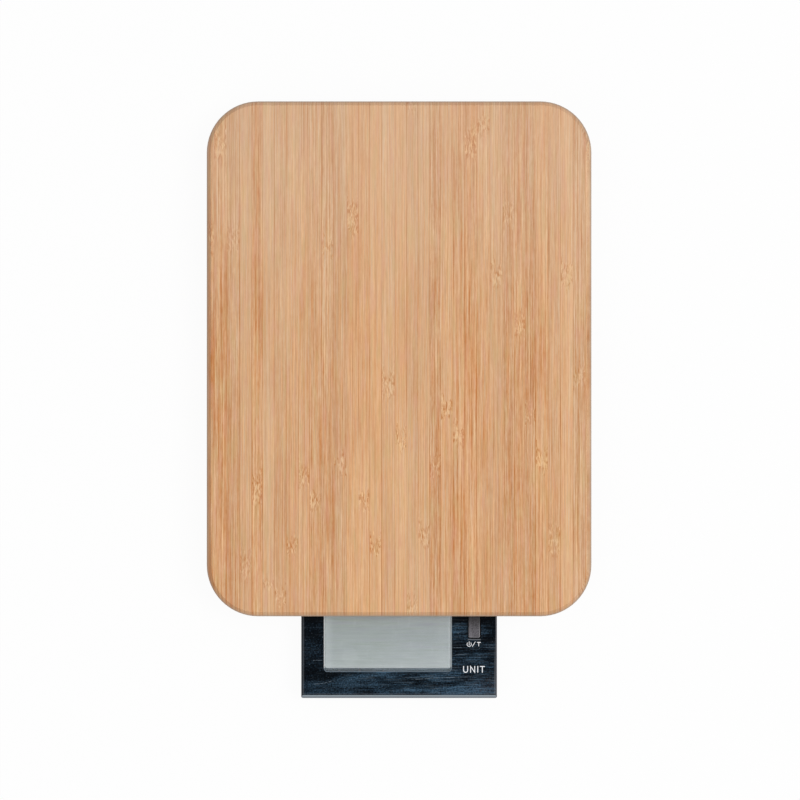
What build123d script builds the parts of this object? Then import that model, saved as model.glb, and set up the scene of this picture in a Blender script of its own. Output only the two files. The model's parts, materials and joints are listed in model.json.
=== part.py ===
from build123d import *
from typing import NamedTuple
import os

# Kitchen scale: bamboo platform, plastic base on four sensing feet, display in a pull-out drawer.
# +Z is up from the table, -Y faces the user, the origin lies under the middle of the opened scale.
# All sizes are in millimetres.

# Platform board
board_width = 180.0
board_length = 241.0
board_thickness = 9.0
board_corner_radius = 24.0
board_bevel = 2.1
board_crease_round = 0.35
board_lower_round = 0.8

# Base tray
base_overhang = 5.0
base_wall = 1.8
base_floor = 1.8
base_lower_round = 1.2
base_clearance = 2.5
label_width = 60.0
label_length = 34.0
label_depth = 0.3

# Display drawer and how far it stands out at rest
drawer_width = 92.3
drawer_length = 92.0
drawer_height = 7.0
drawer_reach = 39.4
drawer_overtravel = 3.0
drawer_lift = 0.3
drawer_headroom = 0.4
drawer_side_gap = 0.4
drawer_wall = 1.6
drawer_floor = 1.2
drawer_corner_radius = 0.8
grip_front = 1.6
grip_width = 44.0
grip_depth = 7.0
grip_height = 0.8

# Panel on top of the drawer, measured back from its front edge
panel_rear = 10.15
panel_thickness = 1.2
panel_front_bevel = 1.5
panel_bevel_height = 0.8
panel_side_bevel = 0.7
window_left = 11.0
window_right = 21.6
window_front = 12.7
window_length = 29.2
window_corner_radius = 1.4
window_edge = 0.3
slot_edge = 0.3
lens_gap = 0.05
key_width = 5.2
key_length = 13.0
key_front = 28.55
key_side = 10.7
key_gap = 0.3
key_proud = 0.12
key_edge = 0.35
key_corner_radius = 0.6
key_travel = 0.5
touch_front = 13.1

# Slide rails
rail_width = 3.4
rail_top_gap = 0.2
rail_end_gap = 0.2
rail_run_on = 4.0
tongue_width = 2.0
tongue_height = 2.0
slide_fit = 0.3
stop_gap = 0.2
ear_reach = 6.4
ear_radius = 2.8
ear_thickness = 1.6
ear_rise = 2.6
ear_end = 6.0
ear_spacing = 30.0

# Sensing feet
cell_size = 24.0
cell_thickness = 1.2
cell_bar = 3.0
cell_beam = 6.0
cell_hub_radius = 4.6
cell_rise = 1.4
cell_fit = 0.2
cell_rib = 1.2
gauge_width = 4.0
gauge_length = 5.0
gauge_thickness = 0.15
foot_boss_gap = 0.8
foot_radius = 9.0
foot_gap = 0.8
foot_lower = 1.0
foot_drop = 0.8
foot_neck_radius = 4.0
stake_radius = 1.9
stake_head_radius = 3.0
stake_head = 0.7
stake_fit = 0.1
pad_radius = 7.6
pad_recess = 0.6
pad_fit = 0.1
pad_round = 0.4
pad_groove_radius = 4.9
pad_groove_width = 1.4
pad_groove_depth = 0.4

# Screws
class PanScrew(NamedTuple):
    head_radius: float
    head_height: float
    shank_radius: float
    shank_length: float


board_screw = PanScrew(head_radius=2.9, head_height=2.0, shank_radius=1.5, shank_length=11.0)
rail_screw = PanScrew(head_radius=1.9, head_height=1.2, shank_radius=0.95, shank_length=4.6)
junction_screw = PanScrew(head_radius=1.9, head_height=1.2, shank_radius=0.95, shank_length=2.6)
circuit_screw = PanScrew(head_radius=1.6, head_height=1.0, shank_radius=0.75, shank_length=2.0)
cover_screw_radius = 0.9
cover_screw_head = 1.8
cover_screw_length = 4.0
screw_gap = 0.15
crown_round = 0.4            # shares of the head: rounded rim, then the arms and depth of the cross
cross_length = 1.24
cross_width = 0.4
cross_depth = 0.55
boss_radius = 4.4
boss_wall_gap = 0.2
boss_recess = 3.4
rear_screw_spacing = 60.0

# Coin cell compartment
coin_radius = 10.0
coin_height = 3.2
coin_fit = 0.3
well_wall = 1.7
well_roof = 1.2
door_disc = 0.9
door_lip = 3.0
door_gap = 0.3
door_recess = 1.0
door_hub_margin = 1.6
door_hub_gap = 0.4
door_lug_reach = 2.2
door_lug_width = 6.0
door_lug_height = 1.2
door_lug_gap = 0.2
door_lug_roof = 0.2
door_turn = 45.0
door_slot_length = 16.0
door_slot_width = 1.9
door_slot_depth = 1.1
coin_gap = 0.05
coin_edge = 0.4
leaf_length = 5.0
leaf_flat = 1.5
contact_width = 5.0
contact_thickness = 0.3
contact_gap = 0.65
contact_tail = 3.0

# Electronics
junction_width = 52.0
junction_depth = 22.0
junction_thickness = 1.0
junction_screw_spacing = 34.0
post_radius = 2.5
header_width = 5.0
header_depth = 13.0
header_height = 3.2
lead_room = 40.0
battery_room = 14.0
lead_radius = 0.9
lead_gap = 0.05
lead_pitch = 3.5
lead_bend = 12.0
lead_saddle = 3.0
battery_lead_radius = 0.6
display_lead_radius = 1.1
display_lead_bend = 18.0
display_lead_side = 18.2
display_lead_end_x = 14.0
display_lead_straight = 24.0
battery_header = 4.0
grommet_wall = 0.6
grommet_flange = 0.5
grommet_flange_length = 0.8
lead_fit = 0.05
circuit_side_gap = 1.6
circuit_front_gap = 1.4
circuit_run_on = 8.0
circuit_thickness = 1.0
circuit_rise = 0.4
circuit_screw_inset = 2.2
circuit_post_radius = 2.0
lcd_strip = 1.37
lcd_side_lap = 1.1
lcd_rear_lap = 2.6
lcd_ledge = 2.6
lcd_pane = 1.1
lcd_drop = 0.2
lcd_fit = 0.06
lcd_frame_front = 3.4
lcd_frame_side = 1.7
lcd_frame_rear = 2.4
zebra_width = 1.8
zebra_inset = 2.0
chip_radius = 3.2
chip_height = 1.3
chip_round = 0.9
chip_front = 21.4
switch_size = 4.6
switch_height = 1.2
switch_well = 0.9
plunger_radius = 1.1
plunger_gap = 0.3
plunger_spare = 0.15
key_flange = 1.2
key_flange_thickness = 0.8
key_flange_gap = 0.1
key_stem_radius = 1.6
touch_size = 6.4
socket_width = 8.0
socket_length = 5.0
socket_overhang = 0.5
cover_thickness = 1.0
cover_gap = 0.15
cover_post_radius = 2.4
cover_post_inset = 5.4

# Heights
base_under_z = base_clearance
base_floor_z = base_under_z + base_floor
drawer_under_z = base_floor_z + drawer_lift
drawer_floor_z = drawer_under_z + drawer_floor
drawer_top_z = drawer_under_z + drawer_height
panel_under_z = drawer_top_z - panel_thickness
board_under_z = drawer_top_z + drawer_headroom
tongue_z = drawer_under_z + drawer_height / 2
cell_seat_z = base_floor_z + cell_rise
cell_top_z = cell_seat_z + cell_thickness
lead_z = cell_top_z + lead_gap + lead_radius
display_lead_z = (drawer_floor_z + panel_under_z) / 2
junction_top_z = lead_z - header_height / 2
junction_under_z = junction_top_z - junction_thickness
circuit_under_z = drawer_floor_z + circuit_rise
circuit_top_z = circuit_under_z + circuit_thickness
lcd_top_z = panel_under_z - lcd_drop
ear_under_z = base_floor_z + ear_rise
ear_top_z = ear_under_z + ear_thickness

# Places in plan
drawer_front_y = -(board_length + drawer_reach) / 2
drawer_rear_y = drawer_front_y + drawer_length
drawer_mid_y = drawer_front_y + drawer_length / 2
drawer_stowed_y = drawer_rear_y + drawer_reach
board_front_y = drawer_front_y + drawer_reach
board_mid_y = board_front_y + board_length / 2
base_width = board_width - 2 * base_overhang
base_length = board_length - 2 * base_overhang
base_radius = board_corner_radius - base_overhang
inner_x = base_width / 2 - base_wall
inner_front_y = board_mid_y - base_length / 2 + base_wall
inner_rear_y = board_mid_y + base_length / 2 - base_wall
rail_inner_x = drawer_width / 2 + drawer_side_gap
rail_outer_x = rail_inner_x + rail_width
rail_front_y = inner_front_y + rail_end_gap
rail_rear_y = drawer_stowed_y + rail_run_on
foot_x = (rail_outer_x + inner_x) / 2
boss_off_wall = boss_radius + boss_wall_gap
foot_off_wall = boss_off_wall + boss_radius + foot_boss_gap + cell_rib + cell_fit + cell_size / 2
foot_front_y = inner_front_y + foot_off_wall
foot_rear_y = inner_rear_y - foot_off_wall
junction_y = drawer_stowed_y + lead_room + junction_depth / 2
header_x = junction_width / 2 - header_width / 2
door_hub_radius = coin_radius + door_hub_margin
door_radius = door_hub_radius + door_hub_gap + door_lip
lug_room_radius = door_hub_radius + door_lug_reach + door_gap
well_radius = lug_room_radius + well_wall
battery_y = junction_y + junction_depth / 2 + battery_room + well_radius
panel_length = window_front + window_length + panel_rear
window_width = drawer_width - window_left - window_right
window_x = (window_left - window_right) / 2
key_x = drawer_width / 2 - key_side
display_lead_x = drawer_width / 2 - display_lead_side
window_mid_y = drawer_front_y + window_front + window_length / 2
key_mid_y = drawer_front_y + key_front + key_length / 2
touch_y = drawer_front_y + touch_front
lcd_front_y = drawer_front_y + window_front + lcd_strip
lcd_width = window_width + 2 * lcd_side_lap
lcd_length = window_length - lcd_strip + lcd_rear_lap
circuit_front_y = drawer_front_y + drawer_wall + circuit_front_gap
circuit_rear_y = drawer_front_y + panel_length + circuit_run_on
circuit_length = circuit_rear_y - circuit_front_y
circuit_mid_y = (circuit_front_y + circuit_rear_y) / 2
circuit_width = drawer_width - 2 * (drawer_wall + circuit_side_gap)
cover_front_y = drawer_front_y + panel_length + cover_gap
cover_mid_y = (cover_front_y + drawer_rear_y) / 2

# Feet by corner: place, and the way along Y that the sensing beam and the lead point
feet = {
    "front_left": (-foot_x, foot_front_y, 1),
    "front_right": (foot_x, foot_front_y, 1),
    "rear_left": (-foot_x, foot_rear_y, -1),
    "rear_right": (foot_x, foot_rear_y, -1),
}
foot_places = [(x, y) for x, y, way in feet.values()]

side_boss_x = inner_x - boss_off_wall
side_boss_step = (foot_rear_y - foot_front_y) / 4
board_screw_places = [
    (-foot_x, inner_front_y + boss_off_wall),
    (foot_x, inner_front_y + boss_off_wall),
    (-side_boss_x, foot_front_y + side_boss_step),
    (side_boss_x, foot_front_y + side_boss_step),
    (-side_boss_x, foot_rear_y - side_boss_step),
    (side_boss_x, foot_rear_y - side_boss_step),
    (-rear_screw_spacing / 2, inner_rear_y - boss_off_wall),
    (rear_screw_spacing / 2, inner_rear_y - boss_off_wall),
]
ear_x = rail_outer_x + ear_reach - ear_radius
ear_ys = [rail_rear_y - ear_end, rail_rear_y - ear_end - ear_spacing]
rail_screw_places = [(side * ear_x, y) for side in (-1, 1) for y in ear_ys]
junction_screw_places = [(side * junction_screw_spacing / 2, junction_y) for side in (-1, 1)]
circuit_screw_places = [
    (side * (circuit_width / 2 - circuit_screw_inset), y)
    for side in (-1, 1)
    for y in (circuit_front_y + circuit_screw_inset, circuit_rear_y - circuit_screw_inset)
]
cover_screw_places = [
    (side * (drawer_width / 2 - drawer_wall - cover_post_inset), cover_mid_y) for side in (-1, 1)
]
saddle_places = [
    (side * foot_x, y)
    for side in (-1, 1)
    for y in (foot_front_y + side_boss_step, foot_rear_y - side_boss_step)
]

os.makedirs("parts", exist_ok=True)


def save(piece, node):
    piece.part.label = node
    export_step(piece.part, f"parts/{node}.step")


def side_plane(x, y):
    return Plane(origin=(x, y, 0), x_dir=(1, 0, 0), z_dir=(0, -1, 0))


# Pan-head screws with a cross recess, seated at one height, the shanks pointing up (1) or down (-1)
def pan_screws(places, seat_z, way, size):
    crown = Plane.XY.offset(seat_z - way * size.head_height)
    with BuildPart() as screws:
        with BuildSketch(crown):
            with Locations(*places):
                Circle(size.head_radius)
        extrude(amount=way * size.head_height)
        crown_rims = screws.edges().filter_by(GeomType.CIRCLE).group_by(Axis.Z)[0 if way > 0 else -1]
        fillet(crown_rims, size.head_height * crown_round)
        with BuildSketch(Plane.XY.offset(seat_z)):
            with Locations(*places):
                Circle(size.shank_radius)
        extrude(amount=way * size.shank_length)
        with BuildSketch(crown):
            with Locations(*places):
                Rectangle(size.head_radius * cross_length, size.head_radius * cross_width)
                Rectangle(size.head_radius * cross_width, size.head_radius * cross_length)
        extrude(amount=way * size.head_height * cross_depth, mode=Mode.SUBTRACT)
    return screws


# Platform board
with BuildPart() as platform_board:
    with BuildSketch(Plane((0, board_mid_y, board_under_z))):
        RectangleRounded(board_width, board_length, board_corner_radius)
    extrude(amount=board_thickness)
    chamfer(platform_board.faces().sort_by(Axis.Z)[-1].edges(), board_bevel)
    fillet(platform_board.faces().sort_by(Axis.Z)[-1].edges(), board_crease_round)
    fillet(platform_board.faces().sort_by(Axis.Z)[0].edges(), board_lower_round)
    with BuildSketch(Plane.XY.offset(board_under_z)):
        with Locations(*board_screw_places):
            Circle(board_screw.shank_radius + screw_gap)
    extrude(
        amount=board_screw.shank_length - (board_under_z - base_under_z - boss_recess) + screw_gap,
        mode=Mode.SUBTRACT,
    )
save(platform_board, "platform_board")

# Base tray: shell, drawer slot, foot pedestals, screw bosses, lead saddles and coin cell well
lug_under_z = base_floor_z + door_lug_gap
lug_top_z = lug_under_z + door_lug_height
well_step_z = lug_top_z + door_lug_roof
coin_under_z = lug_top_z + coin_gap
coin_top_z = coin_under_z + coin_height
well_roof_z = coin_top_z + contact_gap
well_top_z = well_roof_z + well_roof
coin_room_radius = coin_radius + coin_fit
contact_slot = contact_thickness + screw_gap
with BuildPart() as base_tray:
    with BuildSketch(Plane((0, board_mid_y, base_under_z))):
        RectangleRounded(base_width, base_length, base_radius)
    extrude(amount=board_under_z - base_under_z)
    fillet(base_tray.faces().sort_by(Axis.Z)[0].edges(), base_lower_round)
    with BuildSketch(Plane((0, board_mid_y, base_floor_z))):
        RectangleRounded(base_width - 2 * base_wall, base_length - 2 * base_wall, base_radius - base_wall)
    extrude(amount=board_under_z - base_floor_z, mode=Mode.SUBTRACT)
    with BuildSketch(Plane((0, inner_front_y, base_floor_z))):
        Rectangle(drawer_width + 2 * drawer_side_gap, 3 * base_wall)
    extrude(amount=board_under_z - base_floor_z, mode=Mode.SUBTRACT)
    # Pedestals with locating ribs for the load cells, open below for the feet
    with BuildSketch(Plane.XY.offset(base_floor_z)):
        with Locations(*foot_places):
            Rectangle(cell_size, cell_size + 2 * (cell_fit + cell_rib))
    extrude(amount=cell_rise + cell_thickness)
    with BuildSketch(Plane.XY.offset(cell_seat_z)):
        with Locations(*foot_places):
            Rectangle(cell_size + 2 * cell_fit, cell_size + 2 * cell_fit)
    extrude(amount=cell_thickness, mode=Mode.SUBTRACT)
    with BuildSketch(Plane.XY.offset(base_under_z)):
        with Locations(*foot_places):
            Circle(foot_radius + foot_gap)
    extrude(amount=cell_seat_z - base_under_z, mode=Mode.SUBTRACT)
    # Bosses for the board screws
    with BuildSketch(Plane.XY.offset(base_floor_z)):
        with Locations(*board_screw_places):
            Circle(boss_radius)
    extrude(amount=board_under_z - base_floor_z)
    with BuildSketch(Plane.XY.offset(base_under_z)):
        with Locations(*board_screw_places):
            Circle(board_screw.head_radius + screw_gap)
    extrude(amount=boss_recess, mode=Mode.SUBTRACT)
    with BuildSketch(Plane.XY.offset(base_under_z)):
        with Locations(*board_screw_places):
            Circle(board_screw.shank_radius + screw_gap)
    extrude(amount=board_under_z - base_under_z, mode=Mode.SUBTRACT)
    # Posts under the rail ears and under the junction board
    for places, top_z, size in (
        (rail_screw_places, ear_under_z, rail_screw),
        (junction_screw_places, junction_under_z, junction_screw),
    ):
        with BuildSketch(Plane.XY.offset(base_floor_z)):
            with Locations(*places):
                Circle(post_radius)
        extrude(amount=top_z - base_floor_z)
        with BuildSketch(Plane.XY.offset(base_under_z + base_floor / 2)):
            with Locations(*places):
                Circle(size.shank_radius + screw_gap)
        extrude(amount=top_z - base_under_z - base_floor / 2, mode=Mode.SUBTRACT)
    # Saddles that carry the sensor leads
    with BuildSketch(Plane.XY.offset(base_floor_z)):
        with Locations(*saddle_places):
            Rectangle(lead_saddle, lead_saddle)
    extrude(amount=cell_top_z - base_floor_z)
    # Coin cell well with a bayonet lip, and slots for the two contact tails
    with BuildSketch(Plane((0, battery_y, base_floor_z))):
        Circle(well_radius)
    extrude(amount=well_top_z - base_floor_z)
    with BuildSketch(Plane((0, battery_y, base_floor_z))):
        Circle(lug_room_radius)
    extrude(amount=well_step_z - base_floor_z, mode=Mode.SUBTRACT)
    with BuildSketch(Plane((0, battery_y, base_floor_z))):
        Circle(coin_room_radius)
    extrude(amount=well_roof_z - base_floor_z, mode=Mode.SUBTRACT)
    with BuildSketch(Plane((0, battery_y, base_under_z))):
        Circle(door_radius + door_gap)
    extrude(amount=door_recess, mode=Mode.SUBTRACT)
    with BuildSketch(Plane((0, battery_y, base_under_z))):
        Circle(door_hub_radius + door_hub_gap)
        Rectangle(2 * lug_room_radius, door_lug_width + 2 * door_hub_gap)
    extrude(amount=base_floor, mode=Mode.SUBTRACT)
    with BuildSketch(Plane((0, battery_y - well_radius / 2, well_roof_z - contact_slot))):
        Rectangle(contact_width + 2 * screw_gap, well_radius + 1)
    extrude(amount=contact_slot, mode=Mode.SUBTRACT)
    with BuildSketch(Plane((well_radius / 2, battery_y, well_roof_z - contact_slot))):
        Rectangle(well_radius + 1, contact_width + 2 * screw_gap)
    extrude(amount=contact_slot, mode=Mode.SUBTRACT)
    with BuildSketch(Plane((coin_room_radius / 2, battery_y, well_step_z))):
        Rectangle(coin_room_radius + 4 * contact_thickness, contact_width + 2 * screw_gap)
    extrude(amount=well_roof_z - well_step_z, mode=Mode.SUBTRACT)
    # Shallow recess for a rating label, left bare
    with BuildSketch(Plane((0, (drawer_stowed_y + junction_y) / 2, base_under_z))):
        RectangleRounded(label_width, label_length, 2)
    extrude(amount=label_depth, mode=Mode.SUBTRACT)
save(base_tray, "base_tray")

save(pan_screws(board_screw_places, base_under_z + boss_recess, 1, board_screw), "board_screws")

# Slide rails: a groove facing the drawer, and two screwed ears on the outside
groove_depth = tongue_width - drawer_side_gap + slide_fit
rail_height = board_under_z - rail_top_gap - base_floor_z
for side, hand in ((-1, "left"), (1, "right")):
    with BuildPart() as slide_rail:
        with BuildSketch(side_plane(0, rail_rear_y)):
            with Locations((side * (rail_inner_x + rail_width / 2), base_floor_z + rail_height / 2)):
                Rectangle(rail_width, rail_height)
            with Locations((side * (rail_inner_x + groove_depth / 2), tongue_z)):
                Rectangle(groove_depth, tongue_height + 2 * slide_fit, mode=Mode.SUBTRACT)
        extrude(amount=rail_rear_y - rail_front_y)
        for ear_y in ear_ys:
            with BuildSketch(Plane((0, ear_y, ear_under_z))):
                with Locations((side * ear_x, 0)):
                    Circle(ear_radius)
                with Locations((side * (rail_outer_x + ear_x) / 2, 0)):
                    Rectangle(ear_x - rail_outer_x, 2 * ear_radius)
                with Locations((side * ear_x, 0)):
                    Circle(rail_screw.shank_radius + screw_gap, mode=Mode.SUBTRACT)
            extrude(amount=ear_thickness)
    save(slide_rail, f"slide_rail_{hand}")

save(pan_screws(rail_screw_places, ear_top_z, -1, rail_screw), "rail_screws")

# Feet: a steel load cell, a cup staked to its hub, a rubber pad, and a lead to the junction board
cup_top_z = cell_seat_z - foot_drop
for corner, (x, y, way) in feet.items():
    with BuildPart() as load_cell:
        with BuildSketch(Plane((x, y, cell_seat_z))):
            Rectangle(cell_size, cell_size)
            Rectangle(cell_size - 2 * cell_bar, cell_size - 2 * cell_bar, mode=Mode.SUBTRACT)
            with Locations((0, way * (cell_size - cell_bar) / 4)):
                Rectangle(cell_beam, (cell_size - cell_bar) / 2)
            Circle(cell_hub_radius)
            Circle(stake_radius + stake_fit, mode=Mode.SUBTRACT)
        extrude(amount=cell_thickness)
    save(load_cell, f"load_cell_{corner}")

    with BuildPart() as foot_cup:
        with BuildSketch(side_plane(x, y)):
            with BuildLine():
                Polyline(
                    (0, foot_lower + pad_recess),
                    (pad_radius + pad_fit, foot_lower + pad_recess),
                    (pad_radius + pad_fit, foot_lower),
                    (foot_radius, foot_lower),
                    (foot_radius, cup_top_z),
                    (foot_neck_radius, cup_top_z),
                    (foot_neck_radius, cell_seat_z),
                    (stake_radius, cell_seat_z),
                    (stake_radius, cell_top_z),
                    (stake_head_radius, cell_top_z),
                    (stake_head_radius, cell_top_z + stake_head),
                    (0, cell_top_z + stake_head),
                    close=True,
                )
            make_face()
        revolve(axis=Axis((x, y, 0), (0, 0, 1)))
    save(foot_cup, f"foot_cup_{corner}")

    with BuildPart() as foot_pad:
        with BuildSketch(Plane((x, y, 0))):
            Circle(pad_radius)
        extrude(amount=foot_lower + pad_recess)
        fillet(foot_pad.faces().sort_by(Axis.Z)[0].edges(), pad_round)
        with BuildSketch(Plane((x, y, 0))):
            Circle(pad_groove_radius + pad_groove_width / 2)
            Circle(pad_groove_radius - pad_groove_width / 2, mode=Mode.SUBTRACT)
        extrude(amount=pad_groove_depth, mode=Mode.SUBTRACT)
    save(foot_pad, f"foot_pad_{corner}")

    lead_start = (x, y + way * (cell_size - cell_bar) / 2, lead_z)
    lead_turn = (x, junction_y - way * lead_pitch, lead_z)
    lead_end = ((1 if x > 0 else -1) * junction_width / 2, junction_y - way * lead_pitch, lead_z)
    with BuildPart() as sensor_lead:
        with BuildLine():
            FilletPolyline(lead_start, lead_turn, lead_end, radius=lead_bend)
        with BuildSketch(Plane(origin=lead_start, z_dir=(0, way, 0))):
            Circle(lead_radius)
        sweep()
    save(sensor_lead, f"sensor_lead_{corner}")

with BuildPart() as strain_gauges:
    for x, y, way in feet.values():
        with BuildSketch(Plane((x, y + way * (cell_size / 2 - cell_bar - gauge_length / 2), cell_top_z))):
            Rectangle(gauge_width, gauge_length)
        extrude(amount=gauge_thickness)
save(strain_gauges, "strain_gauges")

# Junction board that gathers the sensor leads, with its headers
with BuildPart() as junction_board:
    with BuildSketch(Plane((0, junction_y, junction_under_z))):
        Rectangle(junction_width, junction_depth)
    extrude(amount=junction_thickness)
    with Locations(*[(x, y, junction_top_z) for x, y in junction_screw_places]):
        Hole(junction_screw.shank_radius + screw_gap)
save(junction_board, "junction_board")

save(pan_screws(junction_screw_places, junction_top_z, -1, junction_screw), "junction_screws")

# Headers on the junction board: sensor leads at the sides, display lead in front, battery leads behind
contact_z = well_roof_z - contact_thickness / 2
positive_lead_x = well_radius + contact_tail / 2
junction_front_y = junction_y - junction_depth / 2
junction_rear_y = junction_y + junction_depth / 2
with BuildPart() as lead_headers:
    with BuildSketch(Plane((0, junction_y, junction_top_z))):
        with Locations((-header_x, 0), (header_x, 0)):
            Rectangle(header_width, header_depth)
    extrude(amount=header_height)
    with BuildSketch(Plane((display_lead_end_x, junction_front_y + socket_length / 2, junction_top_z))):
        Rectangle(socket_width, socket_length)
    extrude(amount=header_height)
    with BuildSketch(Plane((0, junction_rear_y - battery_header / 2, junction_top_z))):
        with Locations((0, 0), (positive_lead_x, 0)):
            Rectangle(battery_header, battery_header)
    extrude(amount=contact_z + 2 * battery_lead_radius - junction_top_z)
save(lead_headers, "lead_headers")

# Coin cell and its contacts
with BuildPart() as coin_cell:
    with BuildSketch(Plane((0, battery_y, coin_under_z))):
        Circle(coin_radius)
    extrude(amount=coin_height)
    chamfer(coin_cell.faces().sort_by(Axis.Z)[-1].edges(), coin_edge)
save(coin_cell, "coin_cell")

tail_y = battery_y - well_radius - contact_tail
strip_under_z = well_roof_z - contact_thickness
leaf_under_z = coin_top_z + coin_gap
leaf_top_z = leaf_under_z + contact_thickness
with BuildPart() as battery_contact_negative:
    with BuildSketch(Plane.YZ.offset(-contact_width / 2)):
        with BuildLine():
            Polyline(
                (tail_y, strip_under_z),
                (battery_y - leaf_length, strip_under_z),
                (battery_y - leaf_flat, leaf_under_z),
                (battery_y + leaf_flat, leaf_under_z),
                (battery_y + leaf_length, strip_under_z),
                (battery_y + leaf_length, well_roof_z),
                (battery_y + leaf_flat, leaf_top_z),
                (battery_y - leaf_flat, leaf_top_z),
                (battery_y - leaf_length, well_roof_z),
                (tail_y, well_roof_z),
                close=True,
            )
        make_face()
    extrude(amount=contact_width)
save(battery_contact_negative, "battery_contact_negative")

plate_x = coin_radius + coin_gap
with BuildPart() as battery_contact_positive:
    with BuildSketch(side_plane(0, battery_y + contact_width / 2)):
        with BuildLine():
            Polyline(
                (plate_x, well_step_z + coin_gap),
                (plate_x + contact_thickness, well_step_z + coin_gap),
                (plate_x + contact_thickness, strip_under_z),
                (well_radius + contact_tail, strip_under_z),
                (well_radius + contact_tail, well_roof_z),
                (plate_x, well_roof_z),
                close=True,
            )
        make_face()
    extrude(amount=contact_width)
save(battery_contact_positive, "battery_contact_positive")

with BuildPart() as battery_leads:
    for lead_x, contact_y in ((0, tail_y), (positive_lead_x, battery_y - contact_width / 2)):
        with BuildSketch(side_plane(lead_x, contact_y - lead_gap)):
            with Locations((0, contact_z)):
                Circle(battery_lead_radius)
        extrude(amount=contact_y - lead_gap - junction_rear_y)
save(battery_leads, "battery_leads")

# Battery door: disc, hub with two bayonet lugs, and a coin slot underneath
with BuildPart() as battery_door:
    with BuildSketch(Plane((0, battery_y, base_under_z))):
        Circle(door_radius)
    extrude(amount=door_disc)
    with BuildSketch(Plane((0, battery_y, base_under_z + door_disc))):
        Circle(door_hub_radius)
    extrude(amount=lug_top_z - base_under_z - door_disc)
    with BuildSketch(Plane((0, battery_y, lug_under_z))):
        Rectangle(2 * (door_hub_radius + door_lug_reach), door_lug_width, rotation=door_turn)
        Circle(door_hub_radius + door_lug_reach, mode=Mode.INTERSECT)
    extrude(amount=door_lug_height)
    with BuildSketch(Plane((0, battery_y, base_under_z))):
        SlotOverall(door_slot_length, door_slot_width)
    extrude(amount=door_slot_depth, mode=Mode.SUBTRACT)
save(battery_door, "battery_door")

# Slack lead from the drawer's grommet to the junction board
display_start = (-display_lead_x, drawer_rear_y + lead_fit, display_lead_z)
with BuildPart() as display_lead:
    with BuildLine():
        FilletPolyline(
            display_start,
            (-display_lead_x, drawer_rear_y + display_lead_straight, display_lead_z),
            (display_lead_end_x, junction_front_y - display_lead_straight, display_lead_z),
            (display_lead_end_x, junction_front_y, display_lead_z),
            radius=display_lead_bend,
        )
    with BuildSketch(Plane(origin=display_start, z_dir=(0, 1, 0))):
        Circle(display_lead_radius)
    sweep()
save(display_lead, "display_lead")

# Drawer tray: open box with posts, side tongues for the rails, a lead hole and a finger grip below
grommet_radius = display_lead_radius + lead_fit + grommet_wall
tongue_front_y = inner_front_y + drawer_overtravel + stop_gap
with BuildPart() as drawer_tray:
    with BuildSketch(Plane((0, drawer_mid_y, drawer_under_z))):
        Rectangle(drawer_width, drawer_length)
    extrude(amount=panel_under_z - drawer_under_z)
    fillet(drawer_tray.edges().filter_by(Axis.Z), drawer_corner_radius)
    with BuildSketch(Plane((0, drawer_mid_y, drawer_floor_z))):
        Rectangle(drawer_width - 2 * drawer_wall, drawer_length - 2 * drawer_wall)
    extrude(amount=panel_under_z - drawer_floor_z, mode=Mode.SUBTRACT)
    for side in (-1, 1):
        tongue_mid_x = side * (drawer_width + tongue_width - drawer_wall) / 2
        with BuildSketch(Plane((tongue_mid_x, (tongue_front_y + drawer_rear_y) / 2, tongue_z))):
            Rectangle(tongue_width + drawer_wall, drawer_rear_y - tongue_front_y)
        extrude(amount=tongue_height / 2, both=True)
    for places, radius, top_z, hole_radius, hole_z in (
        (
            circuit_screw_places,
            circuit_post_radius,
            circuit_under_z,
            circuit_screw.shank_radius + screw_gap,
            drawer_under_z + drawer_floor / 3,
        ),
        (
            cover_screw_places,
            cover_post_radius,
            panel_under_z,
            cover_screw_radius + screw_gap,
            panel_under_z + cover_thickness - cover_screw_length - screw_gap,
        ),
    ):
        with BuildSketch(Plane.XY.offset(drawer_floor_z)):
            with Locations(*places):
                Circle(radius)
        extrude(amount=top_z - drawer_floor_z)
        with BuildSketch(Plane.XY.offset(hole_z)):
            with Locations(*places):
                Circle(hole_radius)
        extrude(amount=top_z - hole_z, mode=Mode.SUBTRACT)
    with BuildSketch(side_plane(0, drawer_rear_y)):
        with Locations((-display_lead_x, display_lead_z)):
            Circle(grommet_radius + lead_fit)
    extrude(amount=drawer_wall, mode=Mode.SUBTRACT)
    with BuildSketch(Plane((0, drawer_front_y + grip_front + grip_depth / 2, drawer_under_z))):
        SlotOverall(grip_width, grip_depth)
    extrude(amount=grip_height, mode=Mode.SUBTRACT)
save(drawer_tray, "drawer_tray")

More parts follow.
